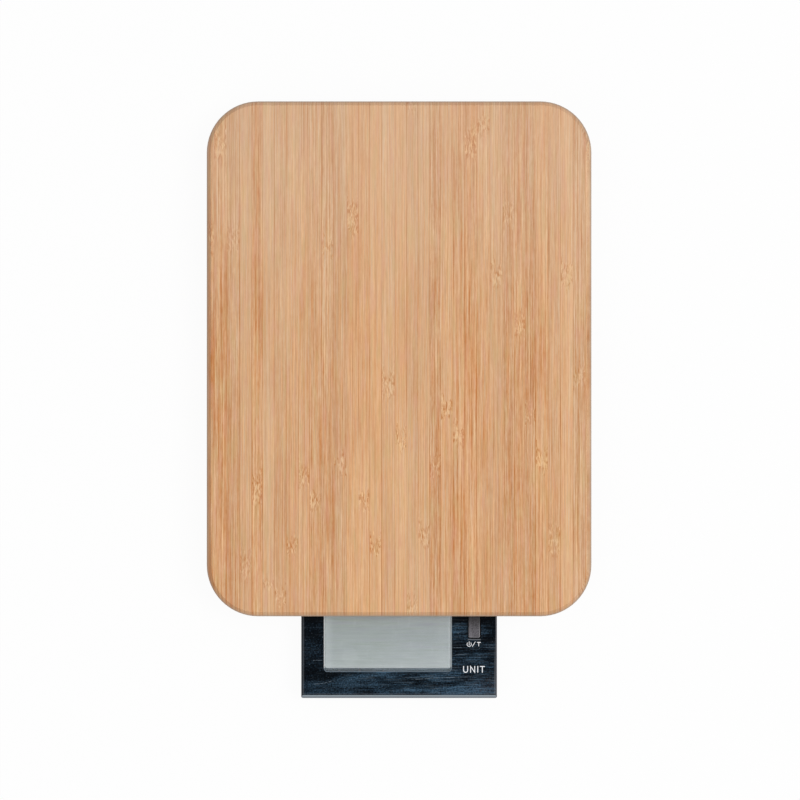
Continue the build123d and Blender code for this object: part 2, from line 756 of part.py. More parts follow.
# Panel: bevelled plate with the display window and the key slot
with BuildPart() as display_panel:
    with BuildSketch(Plane.YZ.offset(-drawer_width / 2)):
        with BuildLine():
            Polyline(
                (drawer_front_y, panel_under_z),
                (drawer_front_y + panel_length, panel_under_z),
                (drawer_front_y + panel_length, drawer_top_z),
                (drawer_front_y + panel_front_bevel, drawer_top_z),
                (drawer_front_y, drawer_top_z - panel_bevel_height),
                close=True,
            )
        make_face()
    extrude(amount=drawer_width)
    chamfer(display_panel.faces().sort_by(Axis.Z)[-1].edges().filter_by(Axis.Y), panel_side_bevel)
    with BuildSketch(Plane((0, drawer_front_y + panel_length / 2, panel_under_z))) as outline:
        Rectangle(drawer_width, panel_length)
        fillet(outline.vertices().group_by(Axis.Y)[0], drawer_corner_radius)
    extrude(amount=panel_thickness, mode=Mode.INTERSECT)
    with BuildSketch(Plane((window_x, window_mid_y, panel_under_z))):
        RectangleRounded(window_width, window_length, window_corner_radius)
    extrude(amount=panel_thickness, mode=Mode.SUBTRACT)
    chamfer(display_panel.faces().sort_by(Axis.Z)[-1].inner_wires().edges(), window_edge)
    with BuildSketch(Plane((key_x, key_mid_y, panel_under_z))):
        RectangleRounded(key_width + 2 * key_gap, key_length + 2 * key_gap, key_corner_radius + key_gap)
    extrude(amount=panel_thickness, mode=Mode.SUBTRACT)
    slot_rim = display_panel.faces().sort_by(Axis.Z)[-1].inner_wires().sort_by(Axis.X)[-1]
    chamfer(slot_rim.edges(), slot_edge)
save(display_panel, "display_panel")

with BuildPart() as display_lens:
    with BuildSketch(Plane((window_x, window_mid_y, panel_under_z))):
        RectangleRounded(
            window_width - 2 * lens_gap, window_length - 2 * lens_gap, window_corner_radius - lens_gap
        )
    extrude(amount=panel_thickness - window_edge)
save(display_lens, "display_lens")

# Display: a wide front pane over a shorter rear pane, its frame, and the contact strip below the ledge
pane_joint_z = lcd_top_z - lcd_pane
with BuildPart() as lcd_glass:
    with BuildSketch(Plane((window_x, lcd_front_y + lcd_length / 2, pane_joint_z))):
        Rectangle(lcd_width, lcd_length)
    extrude(amount=lcd_pane)
    with BuildSketch(Plane((window_x, lcd_front_y + (lcd_length - lcd_ledge) / 2, pane_joint_z))):
        Rectangle(lcd_width, lcd_length - lcd_ledge)
    extrude(amount=-lcd_pane)
save(lcd_glass, "lcd_glass")

frame_length = lcd_length + 2 * lcd_fit + lcd_frame_front + lcd_frame_rear
frame_mid_y = lcd_front_y - lcd_fit - lcd_frame_front + frame_length / 2
with BuildPart() as lcd_frame:
    with BuildSketch(Plane((window_x, frame_mid_y, circuit_top_z))):
        Rectangle(lcd_width + 2 * (lcd_fit + lcd_frame_side), frame_length)
    extrude(amount=panel_under_z - circuit_top_z)
    with BuildSketch(Plane((window_x, lcd_front_y + lcd_length / 2, circuit_top_z))):
        Rectangle(lcd_width + 2 * lcd_fit, lcd_length + 2 * lcd_fit)
    extrude(amount=panel_under_z - circuit_top_z, mode=Mode.SUBTRACT)
save(lcd_frame, "lcd_frame")

with BuildPart() as zebra_strip:
    with BuildSketch(Plane((window_x, lcd_front_y + lcd_length - lcd_ledge / 2, circuit_top_z))):
        Rectangle(lcd_width - 2 * zebra_inset, zebra_width)
    extrude(amount=pane_joint_z - circuit_top_z)
save(zebra_strip, "zebra_strip")

# Circuit board and what it carries
with BuildPart() as circuit_board:
    with BuildSketch(Plane((0, circuit_mid_y, circuit_under_z))):
        Rectangle(circuit_width, circuit_length)
    extrude(amount=circuit_thickness)
    with Locations(*[(x, y, circuit_top_z) for x, y in circuit_screw_places]):
        Hole(circuit_screw.shank_radius + screw_gap)
save(circuit_board, "circuit_board")

save(pan_screws(circuit_screw_places, circuit_top_z, -1, circuit_screw), "circuit_board_screws")

with BuildPart() as controller_chip:
    with BuildSketch(Plane((key_x, drawer_front_y + chip_front, circuit_top_z))):
        Circle(chip_radius)
    extrude(amount=chip_height)
    fillet(controller_chip.faces().sort_by(Axis.Z)[-1].edges(), chip_round)
save(controller_chip, "controller_chip")

switch_top_z = circuit_top_z + switch_height
with BuildPart() as tact_switch:
    with BuildSketch(Plane((key_x, key_mid_y, circuit_top_z))):
        Rectangle(switch_size, switch_size)
    extrude(amount=switch_height)
    with Locations((key_x, key_mid_y, switch_top_z)):
        Hole(plunger_radius + plunger_gap, depth=switch_well)
save(tact_switch, "tact_switch")

plunger_top_z = switch_top_z + key_travel + plunger_spare
plunger_under_z = switch_top_z - switch_well + key_travel + key_flange_gap
with BuildPart() as switch_plunger:
    with BuildSketch(Plane((key_x, key_mid_y, plunger_under_z))):
        Circle(plunger_radius)
    extrude(amount=plunger_top_z - plunger_under_z)
save(switch_plunger, "switch_plunger")

# Key: cap in the panel slot, flange under the panel, stem down to the switch
flange_top_z = panel_under_z - key_flange_gap
with BuildPart() as tare_key:
    with BuildSketch(Plane((key_x, key_mid_y, flange_top_z))):
        RectangleRounded(key_width, key_length, key_corner_radius)
    extrude(amount=drawer_top_z + key_proud - flange_top_z)
    chamfer(tare_key.faces().sort_by(Axis.Z)[-1].edges(), key_edge)
    with BuildSketch(Plane((key_x, key_mid_y, flange_top_z))):
        Rectangle(key_width + 2 * key_flange, key_length + 2 * key_flange)
    extrude(amount=-key_flange_thickness)
    with BuildSketch(Plane((key_x, key_mid_y, plunger_top_z))):
        Circle(key_stem_radius)
    extrude(amount=flange_top_z - key_flange_thickness - plunger_top_z)
save(tare_key, "tare_key")

with BuildPart() as unit_touch_electrode:
    with BuildSketch(Plane((key_x, touch_y, circuit_top_z))):
        Rectangle(touch_size, touch_size)
    extrude(amount=panel_under_z - circuit_top_z)
save(unit_touch_electrode, "unit_touch_electrode")

# Lead inside the drawer, from its socket through the grommet in the rear wall
socket_rear_y = circuit_rear_y + socket_overhang
with BuildPart() as lead_socket:
    with BuildSketch(Plane((-display_lead_x, socket_rear_y - socket_length / 2, circuit_top_z))):
        Rectangle(socket_width, socket_length)
    extrude(amount=panel_under_z - circuit_top_z - cover_gap)
save(lead_socket, "lead_socket")

with BuildPart() as drawer_lead:
    with BuildSketch(side_plane(-display_lead_x, drawer_rear_y)):
        with Locations((0, display_lead_z)):
            Circle(display_lead_radius)
    extrude(amount=drawer_rear_y - socket_rear_y)
save(drawer_lead, "drawer_lead")

with BuildPart() as lead_grommet:
    with BuildSketch(side_plane(-display_lead_x, drawer_rear_y)):
        with Locations((0, display_lead_z)):
            Circle(grommet_radius)
            Circle(display_lead_radius + lead_fit, mode=Mode.SUBTRACT)
    extrude(amount=drawer_wall)
    with BuildSketch(side_plane(-display_lead_x, drawer_rear_y - drawer_wall)):
        with Locations((0, display_lead_z)):
            Circle(grommet_radius + grommet_flange)
            Circle(display_lead_radius + lead_fit, mode=Mode.SUBTRACT)
    extrude(amount=grommet_flange_length)
save(lead_grommet, "lead_grommet")

# Cover over the rear of the drawer, held by two countersunk screws
cover_top_z = panel_under_z + cover_thickness
with BuildPart() as drawer_cover:
    with BuildSketch(Plane((0, cover_mid_y, panel_under_z))):
        Rectangle(drawer_width, drawer_rear_y - cover_front_y)
    extrude(amount=cover_thickness)
    fillet(drawer_cover.edges().filter_by(Axis.Z).group_by(Axis.Y)[-1], drawer_corner_radius)
    with Locations(*[(x, y, cover_top_z) for x, y in cover_screw_places]):
        CounterSinkHole(cover_screw_radius + screw_gap, cover_screw_head + screw_gap)
save(drawer_cover, "drawer_cover")

cone_height = cover_screw_head - cover_screw_radius
with BuildPart() as cover_screws:
    with BuildSketch(Plane.XY.offset(cover_top_z)):
        with Locations(*cover_screw_places):
            Circle(cover_screw_radius)
    extrude(amount=-cover_screw_length)
    with Locations(*[(x, y, cover_top_z - cone_height) for x, y in cover_screw_places]):
        Cone(
            cover_screw_radius,
            cover_screw_head,
            cone_height,
            align=(Align.CENTER, Align.CENTER, Align.MIN),
        )
    with BuildSketch(Plane.XY.offset(cover_top_z)):
        with Locations(*cover_screw_places):
            Rectangle(cover_screw_head * cross_length, cover_screw_head * cross_width)
            Rectangle(cover_screw_head * cross_width, cover_screw_head * cross_length)
    extrude(amount=-cone_height * cross_depth, mode=Mode.SUBTRACT)
save(cover_screws, "cover_screws")
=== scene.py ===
import json
import math
import bpy
import bmesh
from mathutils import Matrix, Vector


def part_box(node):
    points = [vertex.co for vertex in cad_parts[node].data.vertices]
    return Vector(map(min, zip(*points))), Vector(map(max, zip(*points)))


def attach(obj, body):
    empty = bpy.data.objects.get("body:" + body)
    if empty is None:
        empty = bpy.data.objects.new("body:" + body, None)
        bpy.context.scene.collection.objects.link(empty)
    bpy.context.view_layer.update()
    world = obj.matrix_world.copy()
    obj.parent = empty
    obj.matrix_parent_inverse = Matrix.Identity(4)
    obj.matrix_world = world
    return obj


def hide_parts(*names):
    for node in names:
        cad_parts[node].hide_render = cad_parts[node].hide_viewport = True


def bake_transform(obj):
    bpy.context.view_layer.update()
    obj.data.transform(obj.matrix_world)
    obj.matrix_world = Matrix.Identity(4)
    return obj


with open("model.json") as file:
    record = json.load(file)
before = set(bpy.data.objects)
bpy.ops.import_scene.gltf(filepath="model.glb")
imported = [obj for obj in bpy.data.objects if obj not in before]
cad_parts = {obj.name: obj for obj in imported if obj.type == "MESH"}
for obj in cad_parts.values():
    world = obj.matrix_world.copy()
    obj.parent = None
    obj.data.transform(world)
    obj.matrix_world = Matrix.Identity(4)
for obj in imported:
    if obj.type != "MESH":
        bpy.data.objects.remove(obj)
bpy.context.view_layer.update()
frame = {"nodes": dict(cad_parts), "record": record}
nodes = frame["nodes"]
mm = 0.001
white = (1, 1, 1, 1)
print("scale loaded:", len(nodes), "pieces")


def tone(red, green, blue):
    # a colour given in 0-255, as the linear one a shader wants
    def straight(v):
        v /= 255
        return v / 12.92 if v <= 0.04045 else ((v + 0.055) / 1.055) ** 2.4
    return (straight(red), straight(green), straight(blue), 1)


class Wire:
    # one socket of a finish, so shader maths reads as plain sums
    def __init__(self, finish, socket):
        self.finish = finish
        self.socket = socket

    def maths(self, operation, *values):
        return self.finish.add("ShaderNodeMath", {"operation": operation}, dict(enumerate(values)))

    def __add__(self, other):
        return self.maths("ADD", self, other)

    def __sub__(self, other):
        return self.maths("SUBTRACT", self, other)

    def __rsub__(self, other):
        return self.maths("SUBTRACT", other, self)

    def __mul__(self, other):
        return self.maths("MULTIPLY", self, other)

    def __truediv__(self, other):
        return self.maths("DIVIDE", self, other)

    def __rtruediv__(self, other):
        return self.maths("DIVIDE", other, self)

    def __pow__(self, other):
        return self.maths("POWER", self, other)

    def __rpow__(self, other):
        return self.maths("POWER", other, self)

    def __abs__(self):
        return self.maths("ABSOLUTE", self)

    __radd__ = __add__
    __rmul__ = __mul__

    def larger(self, other):
        return self.maths("MAXIMUM", self, other)

    def floor(self):
        return self.maths("FLOOR", self)

    def rest(self):
        # what is left past the whole number
        return self - self.floor()

    def far(self, other):
        # straight distance, from what lies between on two sides
        return (self * self + other * other) ** 0.5

    def ease(self, start, end):
        # 0 at start, 1 at end, soft at both; start may be the larger
        return self.finish.add(
            "ShaderNodeMapRange",
            {"interpolation_type": "SMOOTHSTEP"},
            {"Value": self, "From Min": start, "From Max": end},
        )

    def near(self, spot, outer, inner):
        # 1 within inner of the spot, 0 from outer on
        return abs(self - spot).ease(outer, inner)

    def also(self, output):
        # another output of the same node
        return Wire(self.finish, self.socket.node.outputs[output])


class Finish:
    # the nodes of one material, or of the room's light; lengths inside are millimetres
    def __init__(self, name, kind="materials"):
        self.owner = getattr(bpy.data, kind).new(name)
        self.owner.use_nodes = True
        self.tree = self.owner.node_tree
        self.tree.nodes.clear()

    def add(self, kind, settings=None, sockets=None, output=0):
        node = self.tree.nodes.new(kind)
        for name, value in (settings or {}).items():
            setattr(node, name, value)
        for name, value in (sockets or {}).items():
            if isinstance(value, Wire):
                self.tree.links.new(value.socket, node.inputs[name])
            else:
                node.inputs[name].default_value = value
        return Wire(self, node.outputs[output]) if node.outputs else node

    def place(self):
        spot = self.add("ShaderNodeSeparateXYZ", None, {0: self.add("ShaderNodeTexCoord", output="Object")})
        scale = 1 / mm
        return spot * scale, spot.also(1) * scale, spot.also(2) * scale

    def facing(self):
        way = self.add("ShaderNodeSeparateXYZ", None, {0: self.add("ShaderNodeNewGeometry", output="Normal")})
        return way, way.also(1), way.also(2)

    def spot(self, x, y, z):
        return self.add("ShaderNodeCombineXYZ", None, {0: x, 1: y, 2: z})

    def noise(self, x, y, z, octaves=2, roughness=0.5):
        return self.add(
            "ShaderNodeTexNoise",
            {"noise_dimensions": "3D"},
            {"Vector": self.spot(x, y, z), "Scale": 1.0, "Detail": octaves, "Roughness": roughness},
        )

    def layer(self, x, y, wide, long, seed, octaves=2, roughness=0.5):
        # flat noise: waves per mm across and along, then its seed; a piece's dictionary holds these
        return self.noise(x * wide, y * long, seed, octaves, roughness)

    def grain(self, place, fine, octaves=2, roughness=0.5):
        # even noise in all directions
        x, y, z = place
        return self.noise(x * fine, y * fine, z * fine, octaves, roughness)

    def dots(self, x, y, z, scatter, space="3D"):
        # distance to the nearest of many scattered points
        return self.add(
            "ShaderNodeTexVoronoi", {"voronoi_dimensions": space, "feature": "F1"},
            {"Vector": self.spot(x, y, z), "Scale": 1.0, "Randomness": scatter}, "Distance",
        )

    def mix(self, amount, first, second, way="MIX"):
        return self.add(
            "ShaderNodeMix",
            {"data_type": "RGBA", "blend_type": way, "clamp_factor": True},
            {0: amount, 6: first, 7: second},
            2,
        )

    def bump(self, height, depth, strength):
        return self.add(
            "ShaderNodeBump", None, {"Height": height, "Distance": depth * mm, "Strength": strength}, "Normal"
        )

    def coat(self, **sockets):
        # principled skin; underscores in the names stand for spaces
        skin = self.add(
            "ShaderNodeBsdfPrincipled", None, {name.replace("_", " "): v for name, v in sockets.items()}
        )
        self.add("ShaderNodeOutputMaterial", {"target": "ALL"}, {"Surface": skin})
        return self.owner


# camera straight above, as the photograph was taken
view = {"spot": (0.00043, 0.00043, 1.021), "lens": 96.34, "film": 36, "reach": (0.01, 50)}
lens = bpy.data.cameras.new("topCamera")
lens.lens, lens.sensor_width = view["lens"], view["film"]
lens.clip_start, lens.clip_end = view["reach"]
camera = bpy.data.objects.new("topCamera", lens)
camera.location = view["spot"]
bpy.context.scene.collection.objects.link(camera)
bpy.context.scene.camera = camera
bpy.context.scene.view_settings.view_transform = "Standard"

studio = {
    "sky": 0.56,                    # even light from all round
    "key": {"spot": (1.02, 0.1, 1.7), "size": 1.1, "power": 15.0},
    "fill": {"spot": (-0.45, -0.5, 0.9), "size": 0.9, "power": 1.1},
}


def sceneRay(finish):
    # 1 for rays that show the background: straight, mirrored or through glass
    path = finish.add("ShaderNodeLightPath", output="Is Camera Ray")
    return path.larger(path.also("Is Glossy Ray")).larger(path.also("Is Transmission Ray"))


def softLamp(name, look):
    lamp = bpy.data.lights.new(name, "AREA")
    lamp.shape, lamp.size, lamp.energy = "DISK", look["size"], look["power"]
    thing = bpy.data.objects.new(name, lamp)
    thing.location = look["spot"]
    aim = -thing.location
    thing.rotation_euler = aim.to_track_quat("-Z", "Y").to_euler()
    bpy.context.scene.collection.objects.link(thing)


def paleRoom(look):
    room = Finish("paleRoom", "worlds")
    bpy.context.scene.world = room.owner
    strength = look["sky"] + sceneRay(room) * (1 - look["sky"])
    glow = room.add("ShaderNodeBackground", None, {"Color": white, "Strength": strength})
    room.add("ShaderNodeOutputWorld", None, {"Surface": glow})
    softLamp("keyLamp", look["key"])
    softLamp("fillLamp", look["fill"])


ground = {
    "half": 3.0,                    # m, half a side of the floor
    "paper": ((0.9, 0.9, 0.9, 1), (0.86, 0.86, 0.86, 1)),
    "fibre": (0.4, 0.4, 0, 3),
    "fibreDepth": 0.04,
    "rough": 0.9,
    "glow": 0.945,                  # how much of the floor the camera sees as plain white
}


def paleFloor(look):
    half = look["half"]
    mesh = bpy.data.meshes.new("paleFloor")
    corners = [(-half, -half, 0), (half, -half, 0), (half, half, 0), (-half, half, 0)]
    mesh.from_pydata(corners, [], [(0, 1, 2, 3)])
    floor = bpy.data.objects.new("paleFloor", mesh)
    bpy.context.scene.collection.objects.link(floor)

    f = Finish("palePaper")
    x, y, _ = f.place()
    colour = f.mix(f.layer(x, y, *look["fibre"]) * look["fibreDepth"], *look["paper"])
    matt = f.add(
        "ShaderNodeBsdfPrincipled", None,
        {"Base Color": colour, "Roughness": look["rough"], "Specular IOR Level": 0.0},
    )
    plain = f.add("ShaderNodeEmission", None, {"Color": white, "Strength": 1.0})
    seen = f.add("ShaderNodeMixShader", None, {0: sceneRay(f) * look["glow"], 1: matt, 2: plain})
    # clear from below, and for the soft light, so the underside can be looked at
    below = f.add("ShaderNodeNewGeometry", output="Backfacing")
    clear = below.larger(f.add("ShaderNodeLightPath", output="Is Diffuse Ray"))
    sheet = f.add("ShaderNodeMixShader", None, {0: clear, 1: seen, 2: f.add("ShaderNodeBsdfTransparent")})
    f.add("ShaderNodeOutputMaterial", None, {"Surface": sheet})
    mesh.materials.append(f.owner)


paleRoom(studio)
paleFloor(ground)
print("studio set")


boardLow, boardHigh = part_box("platform_board")
boardTop, boardFront = boardHigh.z / mm, boardLow.y / mm

bamboo = {
    "strip": 5.6,                   # mm, usual width of a lamella
    "wander": (0.05, 4.2),          # waves per mm in the widths, seed
    "uneven": 0.9,                  # how far the widths wander, in strips
    "seed": 0.37,
    "warm": (tone(197, 120, 58), tone(246, 201, 152)),     # fibres from dark to pale
    "ashen": (tone(185, 121, 68), tone(231, 199, 163)),
    "olive": tone(204, 172, 116),
    "pink": tone(222, 162, 136),
    # painted light: the paler, pinker tone the rear half turns to
    "rear": tone(226, 197, 172),
    "end": (tone(178, 124, 80), tone(242, 202, 160)),
    "pore": tone(112, 72, 42),
    # darker tone for faces that tilt away from the top
    "tiltDarker": tone(238, 236, 236),
    # painted grey line along the outer edge: shade and reflection
    "rim": tone(164, 150, 138),
    "knuckleTint": tone(194, 139, 88),
    "knuckleGold": tone(233, 182, 118),
    "knuckleGap": 236.0,            # mm from knuckle to knuckle along one lamella
    "knuckle": (7.5, 0.8),          # mm from its middle: where it ends, where it is full
    "heart": (3.2, 0.4),
    "ragged": 18.0,                 # mm, how far a knuckle's rim is torn
    # waves per mm across and along, seed step from lamella to lamella, seed, octaves, roughness
    "fibres": {
        "hair": (3.1, 0.03, 3.7, 0, 1, 0.5),            # single fibres
        "fine": (1.5, 0.014, 1.9, 20, 2, 0.5),          # bundles
        "grain": (1.9, 0.0025, 4.3, 60, 1, 0.5),        # lines that run the whole board
        "dash": (2.3, 0.16, 6.1, 80, 2, 0.5),           # short pores
        "nick": (2.0, 0.5, 2.7, 50, 1, 0.5),
        "fleck": (2.0, 0.36, 5.1, 0, 2, 0.65),          # in the knuckles
        "ragged": (0.6, 0.2, 3.3, 90, 1, 0.5),
        "redder": (2.1, 0.035, 2.3, 40, 2, 0.5),        # redder and greyer fibres
        "patches": (0.42, 0.07, 1.3, 70, 1, 0.5),       # they lean green or pink
    },
    "strength": {"hair": 1.25, "fine": 0.72, "grain": 0.6, "dash": 0.72, "nick": 0.22},
    "slow": (9.7, 0.009, 12, 1),    # a lamella changes along its length
    "glue": (7.3, 0.012, 33, 1),
    "bundles": (1.5, 1.9),          # cut fibres per mm across and up
    # mm: where each begins and where it is full
    # painted shade along the left edge and painted light on the right side
    "leftShadeBand": (-85.5, -88),
    "rightLightBand": (72, 88),
    "rearHalf": (10, 140),
    "greyEdgeBand": ((boardTop - 0.9, boardTop - 1.9), (boardTop - 5.5, boardTop - 2.2)),
    "rough": 0.5,
    "gloss": 0.2,
    "relief": (0.04, 0.5),          # mm, strength
}


def bambooFinish(look):
    f = Finish("bambooLamellas")
    x, y, z = f.place()
    nx, ny, nz = f.facing()
    wave, seed = look["wander"]
    run = x / look["strip"] + f.noise(x * wave, seed, 0, 1) * look["uneven"]
    strip = run.floor()
    across = run - strip - 0.5
    roll = f.add(
        "ShaderNodeTexWhiteNoise", {"noise_dimensions": "1D"}, {"W": strip + look["seed"]}, "Color"
    )
    toneDice = f.add("ShaderNodeSeparateColor", None, {0: roll})
    knuckleDice, hueDice = toneDice.also(1), toneDice.also(2)

    def fibre(side, along, name):
        wide, long, step, start, octaves, roughness = look["fibres"][name]
        return f.noise(side * wide, along * long, strip * step + start, octaves, roughness)

    # knuckle: a ragged patch where this lamella's fibres pinch together
    gap = look["knuckleGap"]
    off = ((y / gap + knuckleDice).rest() - 0.5) * gap
    bent = abs(across) * (toneDice * 9 - 2)
    stretch = (toneDice * 7.31).rest() * 0.8 + 0.6
    patch = (off - bent + (fibre(x, y, "ragged") - 0.5) * look["ragged"]) / stretch
    plain = hueDice * 0.6 + 0.4
    knuckle = patch.near(0, *look["knuckle"]) * across.near(0, 0.5, 0.42) * plain
    heart = patch.near(-1, *look["heart"]) * across.near(0, 0.44, 0.12) * plain
    sideways = x + (z - boardTop) * abs(nx).ease(0.4, 0.8)        # long sides: fibres stack in height
    pinch = sideways + across * knuckle * look["strip"] * 0.5

    layers = {name: fibre(pinch, y, name) for name in look["strength"]}
    fleck = fibre(pinch, off, "fleck")
    slow = f.layer(strip, y, *look["slow"])
    value = sum((layers[name] - 0.5) * strength for name, strength in look["strength"].items())
    value = value * (1.4 - toneDice * 0.8)                        # paler lamellas are smoother
    value = 0.5 + value + (slow - 0.5) * 0.4 + (toneDice - 0.5) * 0.2
    value = value + knuckle * ((fleck - 0.5) * 5.7 - 0.17) + heart * 0.5
    glueLine = abs(across).ease(0.455, 0.5) * f.layer(strip, y, *look["glue"]).ease(0.4, 0.54)
    # painted light: the board lighter towards the rear
    rearward = y.ease(*look["rearHalf"])
    # painted light and shade: lighter on the right of the board, darker along its left edge, as lit from the
    # right
    sides = x.ease(*look["rightLightBand"]) * 0.13 - x.ease(*look["leftShadeBand"]) * 0.14
    value = value - glueLine * 0.6 + sides + rearward * 0.04

    hue = 0.5 + (fibre(pinch, y, "redder") - 0.5) * 2.6 + (hueDice - 0.5) * 0.5
    colour = f.mix(hue, f.mix(value, *look["ashen"]), f.mix(value, *look["warm"]))
    patches = fibre(x, y, "patches")
    colour = f.mix(patches.ease(0.5, 0.8) * 0.35, colour, look["olive"])
    colour = f.mix(patches.ease(0.5, 0.2) * 0.35, colour, look["pink"])
    colour = f.mix(knuckle * (0.6 - fleck) * 0.8, colour, look["knuckleTint"])
    colour = f.mix(knuckle * fleck.ease(0.48, 0.62) * 0.4, colour, look["knuckleGold"])
    # painted light: the rear paler and pinker
    colour = f.mix(rearward * 0.22, colour, look["rear"])

    # end grain on the front and rear edges: cut bundles instead of long fibres
    endFace = abs(ny).ease(0.72, 0.95)
    wide, tall = look["bundles"]
    pores = f.dots(x * wide, 0.0, z * tall, 0.9).ease(0.42, 0.16)
    endColour = f.mix(pores * 0.62, f.mix(value, *look["end"]), look["pore"])
    colour = f.mix(endFace, colour, endColour)
    # darker on faces that tilt away from the top: the bevels and sides
    colour = f.mix(nz.ease(0.99, 0.9) * 0.5, colour, look["tiltDarker"], "MULTIPLY")
    # painted shade and reflection: a grey band low on the edge bevel, for the rounded outer edge
    below, above = look["greyEdgeBand"]
    colour = f.mix(z.ease(*below) * z.ease(*above) * 0.58, colour, look["rim"])

    height = layers["hair"] * 0.5 + layers["fine"] * 0.5
    height = height - glueLine * 0.8 - knuckle * fleck * 0.5 - endFace * pores
    return f.coat(
        Base_Color=colour, Roughness=look["rough"] + (layers["fine"] - 0.5) * 0.25 + endFace * 0.18,
        Specular_IOR_Level=look["gloss"], Normal=f.bump(height, *look["relief"]),
    )


# the display window, in mm, read off the clear window and the display under it
lensLow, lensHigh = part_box("display_lens")
opening = {
    "middle": (lensLow.x + lensHigh.x) / 2 / mm,
    "half": (lensHigh.x - lensLow.x) / 2 / mm,
    "front": lensLow.y / mm,
    "pane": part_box("lcd_glass")[0].y / mm,
}

keyFlange = 1.2         # mm of the key that is hidden under the panel, all round
keyMargin = 0.45        # mm from the cap's front to the slot's edge
keyLow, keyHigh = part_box("tare_key")
keySlot = {
    "middle": (keyLow.x + keyHigh.x) / 2 / mm,
    "half": (keyHigh.x - keyLow.x) / 2 / mm - keyFlange,
    "front": keyLow.y / mm + keyFlange - keyMargin,
    "top": keyHigh.z / mm,
}

panelLow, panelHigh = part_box("display_panel")
panelTop, panelSide, panelFront = panelHigh.z / mm, panelHigh.x / mm, panelLow.y / mm

panel = {
    "deep": tone(3, 6, 11),
    "sheen": tone(66, 93, 115),
    # cut edges, painted: shaded facing left, lit facing right, a reflection along the front, the window's
    # edges lit by the display
    "sides": (tone(58, 61, 66), tone(86, 87, 93)),              # left, right
    # painted highlight on the lines beside the edges, with wear on the front one
    "edgeGlintAndWearTone": tone(112, 116, 122),
    "shade": tone(6, 7, 9),
    "frontEdge": (tone(126, 132, 138), tone(152, 163, 171)),    # low, high
    "scratch": tone(132, 146, 158),
    "scuff": tone(104, 98, 104),
    "windowEdge": (tone(190, 199, 203), tone(226, 229, 230)),   # left, right
    "windowFoot": tone(116, 130, 142),
    # rubbing: waves per mm across and along, seed, octaves, roughness
    "streak": (0.055, 1.7, 0, 2, 0.6),
    "dash": (0.2, 2.2, 3, 2, 0.6),
    "cloud": (0.04, 0.14, 5, 2, 0.6),
    "cloudSpot": (75, 0.05),        # mm along, slant
    "speck": (1.3, 1.5, 11, 2, 0.7),
    "scuffing": (0.5, 2.4, 21),
    "nick": (1.1, 1.1, 31, 1),
    "broken": (0.9, 0.9, 41),       # gaps in the scratches
    "hairline": (0.1, 1.7, 51, 1),
    "dust": (1.6, 1.9, 61, 1),
    # mm: where each begins and where it is full
    "brushed": (-36, 4),
    "left": (-24, -36),
    "front": (-126, -130.5),
    "middle": ((6, 26), (44, 36)),
    "right": (36, 43),
    "rightRear": (-130, -118),
    "corner": ((26, 44), (-126, -137)),
    # painted shadow of the board
    "underBoard": (boardFront - 4.7, boardFront - 1.6),
    # the right line's painted highlight, strongest at the front
    "rightLineFade": (-108, -134),
    # mm: lines along the sides and the front
    "sideLine": panelSide - 1.05,
    "frontLine": panelFront + 2.05,
    "frontShade": panelFront + 1.65,
    # mm: start, end and how far the middle bows
    "scratches": [
        ((-40.8, -133.5), (-29.8, -131.3), -0.6),
        ((4.6, -131.5), (36.5, -130.0), 0.2),
        ((25.6, -116.3), (31.4, -116.3), 0.0),
        ((25.9, -119.7), (32.5, -119.6), 0.1),
        ((-41.1, -122.3), (-35.8, -122.3), 0.0),
    ],
    "rough": 0.36,
    "gloss": 0.02,
    "relief": (0.01, 0.5),
}


